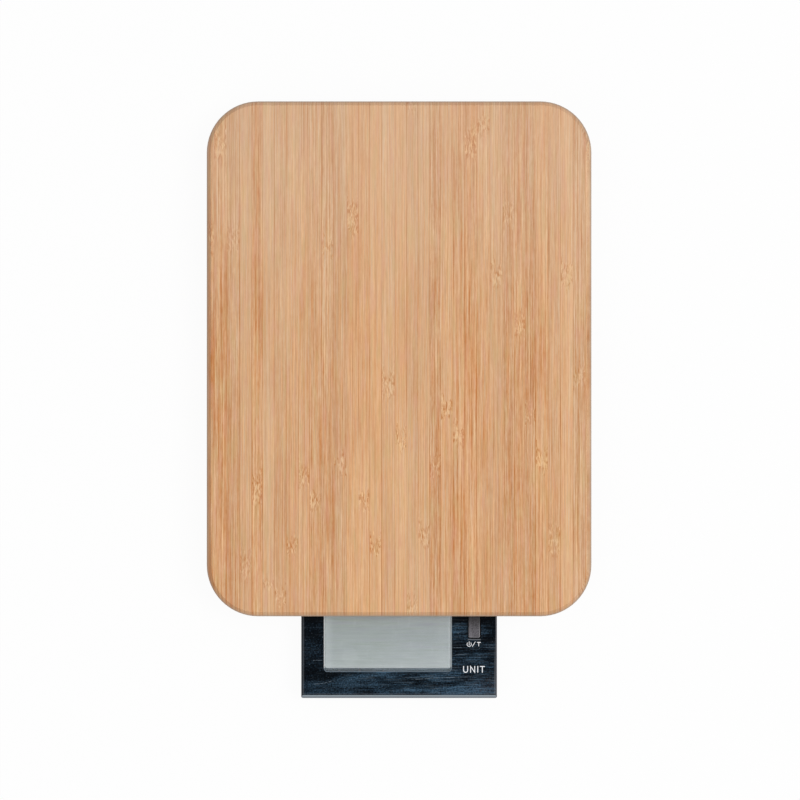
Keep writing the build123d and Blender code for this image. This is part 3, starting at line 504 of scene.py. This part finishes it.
def panelFinish(look):
    f = Finish("navyPanel")
    x, y, z = f.place()
    nx, ny, nz = f.facing()

    def inside(cut, outer, inner):
        # 1 between a cut-out's sides and behind its front edge
        across = x.near(cut["middle"], cut["half"] + outer, cut["half"] + inner)
        return across * y.ease(cut["front"] - outer, cut["front"] - inner)

    brushed = x.ease(*look["brushed"]) * 0.75 + 0.25          # rubbed more towards the right
    streak = f.layer(x, y, *look["streak"])
    dash = f.layer(x, y, *look["dash"])
    speck = f.layer(x, y, *look["speck"])
    along, slant = look["cloudSpot"]
    cloud = f.layer(x + along, y - x * slant, *look["cloud"])
    # painted soft reflection: the print brighter along the front and in the middle, the left and the right
    # darker
    left = x.ease(*look["left"])
    front = (y + left * 4).ease(*look["front"])
    rises, falls = look["middle"]
    middle = x.ease(*rises) * x.ease(*falls)
    right = x.ease(*look["right"]) * (y.ease(*look["rightRear"]) * 0.1 + 0.08)
    value = 0.345 + front * 0.11 + middle * front * 0.13 - left * (0.26 - front * 0.2) - right
    value = value + (cloud - 0.5) * (2.1 - left * 0.9)
    value = value + (streak - 0.5) * brushed * 1.3 + (dash - 0.5) * brushed * 0.9 + (speck - 0.5) * 1.7
    value = value.larger(0.0)
    colour = f.mix(value * value, look["deep"], look["sheen"])

    # greyer, finely scuffed front corner
    cornerX, cornerY = look["corner"]
    scuff = f.layer(x - y, x + y, *look["scuffing"])
    corner = x.ease(*cornerX) * y.ease(*cornerY) * (0.08 + (scuff - 0.5) * 1.5)
    colour = f.mix(corner, colour, look["scuff"])

    # nicks, hairlines, dust and the longer scratches
    nick = f.layer(x, y, *look["nick"]).ease(0.72, 0.8)
    hairline = f.layer(x, y, *look["hairline"]).ease(0.56, 0.76)
    dust = f.layer(x, y, *look["dust"]).ease(0.6, 0.85)
    broken = f.layer(x, y, *look["broken"]).ease(0.3, 0.6)
    rubbed = nick * 0.4 + hairline * brushed * 0.2 + dust * 0.14
    for (x0, y0), (x1, y1), bow in look["scratches"]:
        run = (x - x0) / (x1 - x0)
        line = y - y0 - run * (y1 - y0) - run * (1 - run) * 4 * bow
        ends = run.ease(0, 0.12) * run.ease(1, 0.8)
        rubbed = rubbed + abs(line).ease(0.22, 0.06) * ends * broken * 0.42
    colour = f.mix(rubbed, colour, look["scratch"])
    # painted shadow of the board along the panel's rear
    colour = f.mix(y.ease(*look["underBoard"]) * 0.7, colour, look["shade"])

    # pale lines beside the edges: painted highlights where the edges catch the light, the front one also
    # broken like wear; and a dark one along the front
    slope = nz.ease(0.97, 0.9)
    side = look["sideLine"]
    wearAndEdgeGlints = x.near(-side, 0.42, 0.1) * 0.3 + x.near(side, 0.42, 0.1) * y.ease(*look["rightLineFade"]) * 0.36
    wearAndEdgeGlints = wearAndEdgeGlints + y.near(look["frontLine"], 0.26, 0.06) * (broken * 0.3 + 0.06)
    slotLip = x.near(keySlot["middle"], keySlot["half"] + 0.6, keySlot["half"] + 0.2)
    wearAndEdgeGlints = wearAndEdgeGlints + slotLip * y.near(keySlot["front"] - 0.4, 0.36, 0.2) * 0.7
    colour = f.mix(wearAndEdgeGlints * (1 - slope), colour, look["edgeGlintAndWearTone"])
    colour = f.mix(y.near(look["frontShade"], 0.3, 0.15) * 0.7, colour, look["shade"])

    # cut edges, in painted light and shade: outer edges darker facing left and lighter facing right, a bright
    # painted reflection along the front, brighter at its top, the slot's edges in painted shade, and the
    # window's edges a painted reflection of the display's light, brighter facing the light and darker at the
    # window's front and below the display glass
    edge = f.mix(nx.ease(-0.1, 0.1), *look["sides"])
    frontEdge = f.mix(z.ease(panelTop - 0.5, panelTop - 0.2), *look["frontEdge"])
    edge = f.mix(ny.ease(-0.25, -0.45), edge, frontEdge)
    edge = f.mix(inside(keySlot, 0.8, 0.65), edge, look["shade"])
    windowEdgeLight = f.mix(nx.ease(-0.3, 0.3), *look["windowEdge"])
    foot = ny.ease(0.3, 0.5) + y.ease(opening["pane"] + 0.9, opening["pane"] - 0.3)
    windowEdgeLight = f.mix(foot, windowEdgeLight, look["windowFoot"])
    colour = f.mix(slope * 0.95, colour, f.mix(inside(opening, 0.55, 0.4), edge, windowEdgeLight))
    return f.coat(
        Base_Color=colour, Roughness=look["rough"] + (streak - 0.5) * 0.3 + slope * 0.05,
        Specular_IOR_Level=look["gloss"], Normal=f.bump(dash * 0.6 + speck * 0.4, *look["relief"]),
    )


window = {
    "film": (tone(214, 222, 222), tone(186, 198, 200)),
    "haze": 0.06,
    "clearest": 0.02,
    "line": (0.03, 2.6, 2, 3, 0.6),
    "smear": (0.06, 0.3, 8),
    "rough": 0.12,
    "gloss": 0.08,
    "relief": (0.01, 0.4),
}


def windowFinish(look):
    f = Finish("clearWindow")
    x, y, _ = f.place()
    line = f.layer(x, y, *look["line"])
    smear = f.layer(x, y, *look["smear"])
    haze = look["haze"] + (line - 0.5) * 0.16 + (smear - 0.5) * 0.06
    return f.coat(
        Base_Color=f.mix(smear, *look["film"]), Roughness=look["rough"] + line * 0.1,
        Alpha=haze.larger(look["clearest"]), Specular_IOR_Level=look["gloss"],
        Normal=f.bump(line, *look["relief"]),
    )


display = {
    "glass": (tone(161, 170, 172), tone(186, 194, 195)),        # far, near
    "lilac": tone(164, 166, 178),
    "sage": tone(158, 169, 161),
    "lit": tone(226, 233, 236),
    "mask": tone(104, 115, 123),
    "mottle": (0.12, 0.35, 3),
    "line": (0.02, 3.0, 6),
    "band": (0.045, 0.7, 16),
    "wisp": (0.5, 0.13, 26),
    # mm: where each begins and where it is full
    # painted shade towards the board, and painted light just under its edge
    "nearer": (-109, -126),
    "underBoard": (boardFront - 3.7, boardFront - 1.2),
    "bands": (-126, -110),
    "sageSide": (8, -18),
    "smudge": (-23.2, -120.6, 3.6),     # mm: middle and radius of a finger mark
    "corner": 1.2,                      # mm, radius of the clear area's front corners
    "rough": 0.38,
    "gloss": 0.1,
    "relief": (0.01, 0.3),
}


def displayFinish(look):
    f = Finish("paleDisplay")
    x, y, _ = f.place()
    mottle = f.layer(x, y, *look["mottle"])
    line = f.layer(x, y, *look["line"])
    band = f.layer(x, y, *look["band"])
    # painted shade: darker towards the board and brighter to the front, with painted light just under the
    # board's edge
    value = 0.2 + y.ease(*look["nearer"]) * 0.6 + y.ease(*look["underBoard"]) * 0.3
    value = value + (mottle - 0.5) * 0.6 + (line - 0.5) * 0.8
    colour = f.mix(value, *look["glass"])
    faint = y.ease(*look["bands"]) * 0.35 + 0.2
    colour = f.mix(band.ease(0.5, 0.7) * faint, colour, look["lilac"])
    colour = f.mix(band.ease(0.5, 0.3) * faint + x.ease(*look["sageSide"]) * 0.22, colour, look["sage"])

    # painted light along the glass's side edges and near its front, where the window's walls would shade it;
    # a finger mark and a few pale wisps
    side, half, pane = x - opening["middle"], opening["half"], opening["pane"]
    lit = side.ease(half - 1.5, half - 0.3) * 0.6 + side.ease(half - 9, half - 3) * 0.08
    lit = lit + side.ease(5 - half, 0.5 - half) * 0.24 + y.ease(pane + 2.4, pane + 1) * 0.16
    markX, markY, radius = look["smudge"]
    mark = (x - markX).far(y - markY).ease(radius + 0.8, radius - 0.6)
    wisp = f.layer(x, y + x * 0.4, *look["wisp"]).ease(0.58, 0.74)
    colour = f.mix(lit + mark * 0.07 + wisp * 0.1, colour, look["lit"])

    # rounded front corners of the clear area
    corner = look["corner"]
    outX = (abs(side) - (half - corner)).larger(0.0)
    outY = (pane + corner - y).larger(0.0)
    colour = f.mix(outX.far(outY).ease(corner - 0.15, corner + 0.25), colour, look["mask"])
    return f.coat(
        Base_Color=colour, Roughness=look["rough"] + (mottle - 0.5) * 0.1,
        Specular_IOR_Level=look["gloss"], Normal=f.bump(mottle, *look["relief"]),
    )


surround = {
    "sides": (tone(119, 127, 138), tone(132, 153, 169)),        # left, right
    "lit": tone(160, 174, 185),
    "grain": 1.4,
    "bars": (0.9, 0.1, 9),
    "turns": (-22, 14),                 # mm from left to right
    "litEdge": (-127.6, -126.2),
    "rough": 0.55,
    "gloss": 0.2,
    "relief": (0.02, 0.5),
}


def surroundFinish(look):
    f = Finish("greySurround")
    x, y, z = f.place()
    grain = f.grain((x, y, z), look["grain"])
    bars = f.layer(x, y, *look["bars"])
    colour = f.mix(x.ease(*look["turns"]), *look["sides"])
    value = y.ease(*look["litEdge"]) * 0.7 + (grain - 0.5) * 0.5 + (bars - 0.5) * 0.6
    return f.coat(
        Base_Color=f.mix(value, colour, look["lit"]), Roughness=look["rough"] + (grain - 0.5) * 0.2,
        Specular_IOR_Level=look["gloss"], Normal=f.bump(grain, *look["relief"]),
    )


key = {
    "cap": (tone(66, 64, 68), tone(120, 118, 124)),
    # painted highlight for the chamfers
    "rim": tone(176, 175, 180),
    # painted shade for the gap and the board's shadow
    "shade": tone(42, 41, 41),
    "grain": (1.7, 3, 0.7),
    "cloud": (0.5, 0.3, 4, 1),
    # painted shadow of the board
    "underBoard": (boardFront - 9.7, boardFront - 0.7),
    "rough": 0.42,
    "gloss": 0.12,
    "relief": (0.02, 0.5),
}


def keyFinish(look):
    f = Finish("taupeKey")
    x, y, z = f.place()
    nx, ny, nz = f.facing()
    grain = f.grain((x, y, z), *look["grain"])
    cloud = f.layer(x, y, *look["cloud"])
    paler = x.ease(keySlot["middle"] - 0.6, keySlot["middle"] - 1.8) * 0.32
    colour = f.mix(0.47 + paler + (grain - 0.5) * 3.4 + (cloud - 0.5) * 0.8, *look["cap"])
    # painted highlights on the chamfers, brighter at the front and on the side facing the light
    front = ny.ease(-0.3, -0.5)
    rim = nz.ease(0.97, 0.8) * (0.35 + front * 0.3 + nx.ease(0.3, 0.5) * 0.3)
    colour = f.mix(rim, colour, look["rim"])
    # painted shade low on the front chamfer, in the gap to the slot
    foot = z.ease(keySlot["top"] - 0.16, keySlot["top"] - 0.26) * front
    colour = f.mix(foot * 0.9, colour, look["shade"])
    # painted shadow of the board, towards the key's rear
    colour = f.mix(y.ease(*look["underBoard"]) * 0.85, colour, look["shade"])
    return f.coat(
        Base_Color=colour, Roughness=look["rough"] + (grain - 0.5) * 0.2,
        Specular_IOR_Level=look["gloss"], Normal=f.bump(grain, *look["relief"]),
    )


def mouldedFinish(name, look):
    # spark-eroded plastic: fine even grain, faint flow marks
    f = Finish(name)
    x, y, z = f.place()
    pitch = look["grain"]
    grain = f.noise(x / pitch, y / pitch, z / pitch, 3, 0.6)
    flow = f.noise(x * 0.03, y * 0.05, z * 0.2, 3)
    return f.coat(
        Base_Color=f.mix((grain - 0.5) * 0.9 + flow, *look["shades"]),
        Roughness=look["rough"] + (grain - 0.5) * 0.25 + (flow - 0.5) * 0.15,
        Specular_IOR_Level=look["gloss"], Normal=f.bump(grain, look["depth"], 0.7),
    )


# plastics and rubber: dark and pale shade, grain in mm, then how rough, how glossy and how deep
charcoal = {
    "shades": (tone(33, 35, 38), tone(52, 54, 57)),
    "grain": 0.45, "rough": 0.56, "gloss": 0.3, "depth": 0.04,
}
inkBlack = {
    "shades": (tone(20, 23, 28), tone(38, 42, 48)),
    "grain": 0.4, "rough": 0.5, "gloss": 0.3, "depth": 0.03,
}
acetal = {
    "shades": (tone(222, 221, 214), tone(240, 239, 233)),
    "grain": 0.8, "rough": 0.4, "gloss": 0.4, "depth": 0.02,
}
ivory = {
    "shades": (tone(214, 205, 182), tone(236, 229, 209)),
    "grain": 0.6, "rough": 0.45, "gloss": 0.35, "depth": 0.02,
}
epoxy = {
    "shades": (tone(16, 16, 18), tone(36, 36, 40)),
    "grain": 0.5, "rough": 0.35, "gloss": 0.4, "depth": 0.03,
}
rubber = {
    "shades": (tone(52, 53, 55), tone(80, 81, 83)),
    "grain": 0.3, "rough": 0.85, "gloss": 0.15, "depth": 0.05,
}


def metalFinish(name, look):
    # drawn or plated metal with lines along one axis and a few stains
    f = Finish(name)
    x, y, z = f.place()
    a, b, c = look["lines"]
    line = f.noise(x * a, y * b, z * c, 3, 0.6)
    stain = f.grain((x, y, z), 0.25, 3)
    return f.coat(
        Base_Color=f.mix((line - 0.5) * 1.2 + stain, *look["shades"]), Metallic=0.85 + (stain - 0.5) * 0.3,
        Roughness=look["rough"] + (line - 0.5) * 0.3, Normal=f.bump(line, 0.01, 0.5),
    )


# metals: waves per mm along x, y and z, dark and pale shade
springSteel = {
    "lines": (0.2, 4.0, 4.0), "shades": (tone(150, 152, 156), tone(196, 198, 201)), "rough": 0.34,
}
zincScrew = {
    "lines": (3.0, 3.0, 3.0), "shades": (tone(128, 130, 134), tone(184, 186, 189)), "rough": 0.38,
}
nickel = {
    "lines": (5.0, 0.4, 5.0), "shades": (tone(176, 174, 168), tone(212, 210, 204)), "rough": 0.26,
}

solderMask = {
    "mask": (tone(20, 78, 50), tone(38, 112, 72)),      # plain, over a track
    "pad": tone(196, 170, 104),
    "weave": (1.5, 1.5),
    "lanes": 0.35,                      # per mm
    "pads": 0.3,
    "rough": 0.32,
    "relief": (0.03, 0.5),
}


def circuitFinish(look):
    f = Finish("greenCircuit")
    x, y, z = f.place()
    weave = f.layer(x, y, *look["weave"], z)
    lane = f.add(
        "ShaderNodeTexBrick", {"offset": 0.5, "squash": 1.0},
        {"Vector": f.spot(x * look["lanes"], y * look["lanes"], 0.0), "Scale": 1.0, "Mortar Size": 0.06,
         "Mortar Smooth": 0.2, "Brick Width": 2.4, "Row Height": 0.5},
        "Fac",
    )
    pad = f.dots(x * look["pads"], y * look["pads"], 0.0, 0.8, "2D").ease(0.13, 0.1)
    colour = f.mix(lane * 0.8 + (weave - 0.5) * 0.3, *look["mask"])
    return f.coat(
        Base_Color=f.mix(pad, colour, look["pad"]), Metallic=pad * 0.8,
        Roughness=look["rough"] + (weave - 0.5) * 0.2, Normal=f.bump(lane + pad, *look["relief"]),
    )


gaugeFilm = {
    "foil": (tone(120, 96, 70), tone(190, 138, 60)),    # bare foil, under film
    "comb": 2.2,                        # per mm
    "grain": 2,
    "rough": 0.35,
    "relief": (0.02, 0.4),
}


def gaugeFinish(look):
    f = Finish("gaugeFoil")
    x, y, z = f.place()
    film = abs((x * look["comb"]).rest() - 0.5).ease(0.2, 0.3)
    grain = f.grain((x, y, z), look["grain"])
    return f.coat(
        Base_Color=f.mix(film * 0.8 + (grain - 0.5) * 0.3, *look["foil"]), Metallic=(1 - film) * 0.6,
        Roughness=look["rough"] + (grain - 0.5) * 0.2, Normal=f.bump(film, *look["relief"]),
    )


contactStrip = {
    "layers": (tone(28, 28, 30), tone(178, 172, 160)),  # carbon, clear
    "stack": 1.6,                       # layers per mm
    "grain": 2,
    "rough": 0.6,
    "gloss": 0.2,
    "relief": (0.02, 0.3),
}


def contactFinish(look):
    f = Finish("stripedElastomer")
    x, y, z = f.place()
    stripe = abs((x * look["stack"]).rest() - 0.5).ease(0.22, 0.28)
    grain = f.grain((x, y, z), look["grain"])
    return f.coat(
        Base_Color=f.mix(stripe * 0.9 + (grain - 0.5) * 0.2, *look["layers"]),
        Roughness=look["rough"] + (grain - 0.5) * 0.2, Specular_IOR_Level=look["gloss"],
        Normal=f.bump(stripe, *look["relief"]),
    )


sheath = {
    "shades": (tone(58, 60, 64), tone(92, 94, 98)),
    "dust": 3,
    "rough": 0.5,
    "gloss": 0.3,
    "relief": (0.02, 0.5),
}


def sheathFinish(look):
    f = Finish("leadSheath")
    x, y, z = f.place()
    rub = f.noise(x * 0.5, y * 0.5, z * 3, 3)
    dust = f.grain((x, y, z), look["dust"])
    return f.coat(
        Base_Color=f.mix(rub + (dust - 0.5) * 0.4, *look["shades"]),
        Roughness=look["rough"] + (rub - 0.5) * 0.25, Specular_IOR_Level=look["gloss"],
        Normal=f.bump(dust, *look["relief"]),
    )


dress = {
    "bamboo": bambooFinish(bamboo),
    "base_plastic": mouldedFinish("charcoalBase", charcoal),
    "drawer_plastic": mouldedFinish("inkBlackDrawer", inkBlack),
    "panel_print": panelFinish(panel),
    "clear_lens": windowFinish(window),
    "lcd_glass": displayFinish(display),
    "grey_plastic": surroundFinish(surround),
    "acetal": mouldedFinish("whiteAcetal", acetal),
    "steel": metalFinish("springSteel", springSteel),
    "screw_steel": metalFinish("zincScrew", zincScrew),
    "nickel": metalFinish("nickelPlate", nickel),
    "rubber": mouldedFinish("greyRubber", rubber),
    "circuit": circuitFinish(solderMask),
    "chip_epoxy": mouldedFinish("blackEpoxy", epoxy),
    "header_plastic": mouldedFinish("ivoryHeader", ivory),
    "cable": sheathFinish(sheath),
    "foil": gaugeFinish(gaugeFilm),
    "elastomer": contactFinish(contactStrip),
}
ownDress = {"tare_key": keyFinish(key)}         # pieces that differ from the others of their slot
for part in frame["record"]["subparts"]:
    wear = ownDress.get(part["node"], dress[part["material_slot"]])
    for slot in nodes[part["node"]].material_slots:
        slot.material = wear
print("pieces dressed:", len(dress) + len(ownDress), "finishes")


def addPiece(name, mesh, body, wear):
    piece = bpy.data.objects.new(name, mesh)
    bpy.context.scene.collection.objects.link(piece)
    mesh.materials.append(wear)
    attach(piece, body)


def arc(spot, radius, start, end, steps=28):
    # points along a round line, from one angle in degrees to the other
    turns = [math.radians(start + (end - start) * i / steps) for i in range(steps + 1)]
    return [(spot[0] + radius * math.cos(turn), spot[1] + radius * math.sin(turn)) for turn in turns]


# printed legends: flat strokes of ink, a hair thick, lying on the panel
legend = {
    "ink": (tone(250, 252, 255), tone(226, 232, 240)),      # fresh, worn
    "grain": (5, 5),
    "wear": (1.3, 1.3, 7),
    "rough": 0.55,
    "gloss": 0.2,
    "relief": (0.01, 0.4),
    "thick": 0.025,
    "bold": 0.385,
    "slim": 0.265,
    "mitre": 0.35,                      # the sharpest corner, as the cosine of half its turn
    "tareLegend": [
        ("slim", arc((33.05, -114.74), 1.0, 132, 408)),     # power ring, open at its top
        ("slim", [(33.05, -113.39), (33.05, -115.19)]),
        ("slim", [(34.48, -115.85), (35.98, -113.5)]),
        ("bold", [(36.82, -113.86), (38.45, -113.86)]),
        ("slim", [(37.56, -114.04), (37.56, -115.7)]),
    ],
    "unitLegend": [
        ("bold", [
            (30.4, -125.0), (30.4, -127.0), *arc((31.37, -127.0), 0.97, 180, 360, 14), (32.34, -125.0),
        ]),
        ("bold", [(33.72, -128.1), (33.72, -125.15), (35.66, -127.95), (35.66, -125.0)]),
        ("bold", [(37.1, -125.0), (37.1, -128.1)]),
        ("bold", [(38.1, -125.2), (40.4, -125.2)]),
        ("bold", [(39.25, -125.37), (39.25, -128.1)]),
    ],
}


def inkFinish(look):
    f = Finish("paleInk")
    x, y, z = f.place()
    grain = f.layer(x, y, *look["grain"], z)
    wear = f.layer(x, y, *look["wear"]).ease(0.5, 0.75)
    return f.coat(
        Base_Color=f.mix(wear * 0.35 + (grain - 0.5) * 0.4, *look["ink"]),
        Roughness=look["rough"] + (grain - 0.5) * 0.2, Specular_IOR_Level=look["gloss"],
        Normal=f.bump(grain, *look["relief"]),
    )


def inkStroke(bm, line, wide, look):
    # a ribbon along the points, mitred at its corners
    low, high = panelTop * mm, (panelTop + look["thick"]) * mm
    rings = []
    for i, (x, y) in enumerate(line):
        before = line[max(i - 1, 0)]
        after = line[min(i + 1, len(line) - 1)]
        ways = []
        for a, b in ((before, (x, y)), ((x, y), after)):
            dx, dy = b[0] - a[0], b[1] - a[1]
            size = math.hypot(dx, dy)
            if size:
                ways.append((-dy / size, dx / size))
        sx, sy = sum(way[0] for way in ways), sum(way[1] for way in ways)
        size = math.hypot(sx, sy)
        sx, sy = sx / size, sy / size
        reach = wide / 2 / max(sx * ways[0][0] + sy * ways[0][1], look["mitre"])
        left = ((x + sx * reach) * mm, (y + sy * reach) * mm)
        right = ((x - sx * reach) * mm, (y - sy * reach) * mm)
        ring = ((*left, low), (*right, low), (*right, high), (*left, high))
        rings.append([bm.verts.new(corner) for corner in ring])
    for a, b in zip(rings, rings[1:]):
        for k in range(4):
            bm.faces.new((a[k], b[k], b[(k + 1) % 4], a[(k + 1) % 4]))
    bm.faces.new(rings[0])
    bm.faces.new(reversed(rings[-1]))


def meshOf(name, bm):
    bmesh.ops.recalc_face_normals(bm, faces=bm.faces)
    mesh = bpy.data.meshes.new(name)
    bm.to_mesh(mesh)
    bm.free()
    return mesh


def inkPiece(name, look, wear):
    bm = bmesh.new()
    for weight, line in look[name]:
        inkStroke(bm, line, look[weight], look)
    addPiece(name, meshOf(name, bm), "display_drawer", wear)


ink = inkFinish(legend)
inkPiece("tareLegend", legend, ink)
inkPiece("unitLegend", legend, ink)
print("legends printed")


# bare rating plate in its recess under the base
plate = {
    "spot": (0.0, 16.7),
    "wide": 58.6,
    "long": 32.6,
    "corner": 1.6,
    "cornerSteps": 8,
    "roof": 2.8,
    "thick": 0.14,
    "bevel": 0.05,
    "shades": (tone(160, 162, 165), tone(186, 188, 190)),
    "brush": (0.1, 4.0, 0, 3, 0.6),
    "dull": (0.1, 0.1, 5),
    "rough": 0.42,
    "relief": (0.01, 0.4),
}


def plateFinish(look):
    f = Finish("satinPlate")
    x, y, _ = f.place()
    brush = f.layer(x, y, *look["brush"])
    dull = f.layer(x, y, *look["dull"])
    return f.coat(
        Base_Color=f.mix(brush * 0.7 + dull * 0.4, *look["shades"]), Metallic=0.35 + dull * 0.2,
        Roughness=look["rough"] + (brush - 0.5) * 0.25, Normal=f.bump(brush, *look["relief"]),
    )


def barePlate(look):
    cx, cy = look["spot"]
    hx, hy, r = look["wide"] / 2, look["long"] / 2, look["corner"]
    rim = []
    for sx, sy, start in ((1, 1, 0), (-1, 1, 90), (-1, -1, 180), (1, -1, 270)):
        middle = (cx + sx * (hx - r), cy + sy * (hy - r))
        rim += arc(middle, r, start, start + 90, look["cornerSteps"])
    bm = bmesh.new()
    face = bm.faces.new([bm.verts.new((x * mm, y * mm, look["roof"] * mm)) for x, y in rim])
    drop = bmesh.ops.extrude_face_region(bm, geom=[face])
    lowered = [v for v in drop["geom"] if isinstance(v, bmesh.types.BMVert)]
    for v in lowered:
        v.co.z -= look["thick"] * mm
    lowEdges = [e for e in bm.edges if all(v in lowered for v in e.verts)]
    bmesh.ops.bevel(bm, geom=lowEdges, offset=look["bevel"] * mm, segments=2, affect="EDGES")
    addPiece("barePlate", meshOf("barePlate", bm), "scale_body", plateFinish(look))


barePlate(plate)

# slack lead from the junction board to the drawer, on one smooth line
slack = {
    "route": [
        (14, 31.2, 8.1), (14, 19, 8.1), (13, 7.2, 8.1),
        (-26.95, -24.2, 8.1), (-27.95, -36, 8.1), (-27.95, -48.15, 8.1),
    ],
    "radius": 1.1,
    "order": 3,
    "steps": 16,                        # between two points of the route
    "roundness": 5,
}


def slackLead(look):
    curve = bpy.data.curves.new("slackLine", "CURVE")
    curve.dimensions = "3D"
    line = curve.splines.new("NURBS")
    line.points.add(len(look["route"]) - 1)
    for point, (x, y, z) in zip(line.points, look["route"]):
        point.co = (x * mm, y * mm, z * mm, 1)
    line.order_u = look["order"]
    line.use_endpoint_u = True
    line.resolution_u = look["steps"]
    curve.bevel_depth, curve.bevel_resolution = look["radius"] * mm, look["roundness"]
    curve.use_fill_caps = True
    thing = bpy.data.objects.new("slackLine", curve)
    mesh = bpy.data.meshes.new_from_object(thing)
    bpy.data.objects.remove(thing)
    mesh.name = "slackLead"
    for face in mesh.polygons:
        face.use_smooth = True
    mesh.materials.clear()
    lead = bpy.data.objects.new("slackLead", mesh)
    bpy.context.scene.collection.objects.link(lead)
    mesh.materials.append(dress["cable"])
    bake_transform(lead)
    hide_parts("display_lead")


slackLead(slack)
print("plate and slack lead in")
